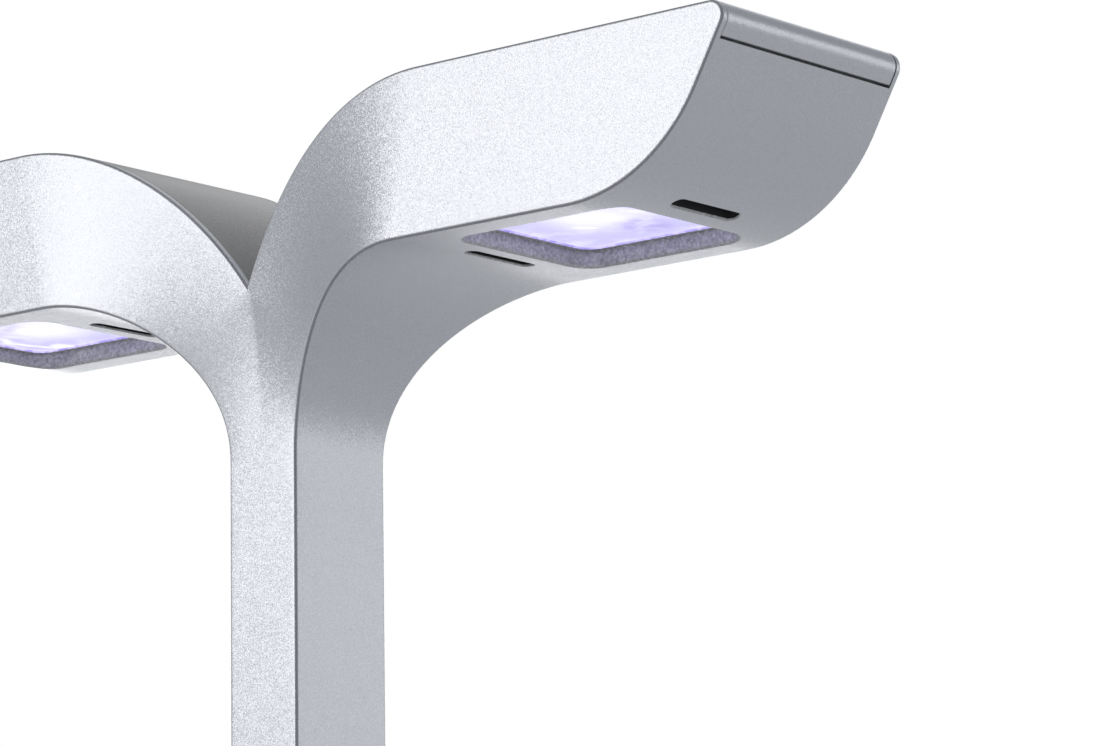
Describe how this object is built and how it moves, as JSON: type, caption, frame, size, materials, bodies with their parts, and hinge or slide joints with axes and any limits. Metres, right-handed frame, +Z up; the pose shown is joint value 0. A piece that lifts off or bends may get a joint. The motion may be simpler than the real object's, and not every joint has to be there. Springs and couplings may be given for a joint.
{
  "type": "countertop hydroponic garden",
  "caption": "Countertop hydroponic garden: two-armed Y-shaped grow lamp on a post that slides in a water base with lift-out pods, pump, float and buttons.",
  "frame": {"origin": "bottom centre of the base, on the surface that the feet stand on, on the lamp post's axis", "axes": "+X along the right-hand lamp arm, -Y towards the user at the buttons, +Z up along the post"},
  "size_m": [0.4, 0.23, 0.36],
  "materials": {
    "silver_shell": "satin metallic silver paint",
    "cover_grey": "satin warm grey",
    "clear_lens": "clear, lightly violet",
    "chamber_white": "matt white",
    "board_white": "white solder mask",
    "led_phosphor": "glossy phosphor",
    "sink_aluminium": "plain",
    "screw_steel": "plain",
    "lead_grey": "matt",
    "dark_plastic": "fine matt grain",
    "guide_grey": "matt",
    "plate_grey": "matt",
    "tank_grey": "satin",
    "deck_white": "satin",
    "cup_dark": "matt",
    "plug_fibre": "rough compressed fibre",
    "pod_white": "satin",
    "flap_grey": "satin",
    "float_blue": "satin",
    "cage_white": "satin",
    "foot_rubber": "matt",
    "tube_clear": "translucent",
    "shaft_steel": "ground",
    "button_grey": "satin",
    "light_green": "translucent",
    "board_green": "solder mask"
  },
  "bodies": {
    "base": {"housing_front": "silver_shell", "housing_rear": "silver_shell", "housing_end_right": "silver_shell", "housing_end_left": "silver_shell", "bottom_plate": "plate_grey", "rubber_feet": "foot_rubber", "base_screws": "screw_steel", "water_tank": "tank_grey", "float_cage": "cage_white", "pump_housing": "dark_plastic", "pump_inlet_cover": "dark_plastic", "pump_shaft": "shaft_steel", "pump_outlet_tube": "tube_clear", "pump_pads": "foot_rubber", "control_bezel": "dark_plastic", "status_lights": "light_green", "control_board": "board_green", "power_inlet": "dark_plastic", "post_guide": "guide_grey"},
    "lamp": {"lamp_body": "silver_shell", "lamp_lead": "lead_grey", "post_foot": "dark_plastic", "heat_sink_screws": "screw_steel", "top_cover_right": "cover_grey", "lens_right": "clear_lens", "light_chamber_right": "chamber_white", "led_board_right": "board_white", "led_chips_right": "led_phosphor", "heat_sink_right": "sink_aluminium", "top_cover_left": "cover_grey", "lens_left": "clear_lens", "light_chamber_left": "chamber_white", "led_board_left": "board_white", "led_chips_left": "led_phosphor", "heat_sink_left": "sink_aluminium"},
    "deck": {"planting_deck": "deck_white", "flap_pin": "shaft_steel"},
    "flap": {"fill_flap": "flap_grey"},
    "float": {"level_float": "float_blue"},
    "light_key": {"light_button": "button_grey"},
    "pump_key": {"pump_button": "button_grey"},
    "impeller": {"pump_impeller": "guide_grey"},
    "pod_1": {"net_cup_1": "cup_dark", "growth_plug_1": "plug_fibre", "pod_cover_1": "pod_white"},
    "pod_2": {"net_cup_2": "cup_dark", "growth_plug_2": "plug_fibre", "pod_cover_2": "pod_white"},
    "pod_3": {"net_cup_3": "cup_dark", "growth_plug_3": "plug_fibre", "pod_cover_3": "pod_white"},
    "pod_4": {"net_cup_4": "cup_dark", "growth_plug_4": "plug_fibre", "pod_cover_4": "pod_white"},
    "pod_5": {"net_cup_5": "cup_dark", "growth_plug_5": "plug_fibre", "pod_cover_5": "pod_white"},
    "pod_6": {"net_cup_6": "cup_dark", "growth_plug_6": "plug_fibre", "pod_cover_6": "pod_white"}
  },
  "joints": [
    {"name": "lamp_lift", "type": "slide", "parent": "base", "child": "lamp", "axis": [0, 0, 1], "range_m": [0, 0.045]},
    {"name": "deck_lift", "type": "slide", "parent": "base", "child": "deck", "axis": [0, 0, 1], "range_m": [0, 0.07]},
    {"name": "flap_hinge", "type": "hinge", "parent": "deck", "child": "flap", "pos_m": [0.0625, -0.0628, 0.0993], "axis": [-1, 0, 0], "range_deg": [0, 100]},
    {"name": "float_rise", "type": "slide", "parent": "base", "child": "float", "axis": [0, 0, 1], "range_m": [0, 0.02]},
    {"name": "light_press", "type": "slide", "parent": "base", "child": "light_key", "axis": [0, 1, 0], "range_m": [0, 0.001], "stiffness_N_per_m": 800},
    {"name": "pump_press", "type": "slide", "parent": "base", "child": "pump_key", "axis": [0, 1, 0], "range_m": [0, 0.001], "stiffness_N_per_m": 800},
    {"name": "impeller_spin", "type": "hinge", "parent": "base", "child": "impeller", "pos_m": [-0.062, 0, 0.0335], "axis": [0, 1, 0], "continuous": true},
    {"name": "pod_lift_1", "type": "slide", "parent": "deck", "child": "pod_1", "axis": [0, 0, 1], "range_m": [0, 0.07]},
    {"name": "pod_lift_2", "type": "slide", "parent": "deck", "child": "pod_2", "axis": [0, 0, 1], "range_m": [0, 0.07]},
    {"name": "pod_lift_3", "type": "slide", "parent": "deck", "child": "pod_3", "axis": [0, 0, 1], "range_m": [0, 0.07]},
    {"name": "pod_lift_4", "type": "slide", "parent": "deck", "child": "pod_4", "axis": [0, 0, 1], "range_m": [0, 0.07]},
    {"name": "pod_lift_5", "type": "slide", "parent": "deck", "child": "pod_5", "axis": [0, 0, 1], "range_m": [0, 0.07]},
    {"name": "pod_lift_6", "type": "slide", "parent": "deck", "child": "pod_6", "axis": [0, 0, 1], "range_m": [0, 0.07]}
  ]
}
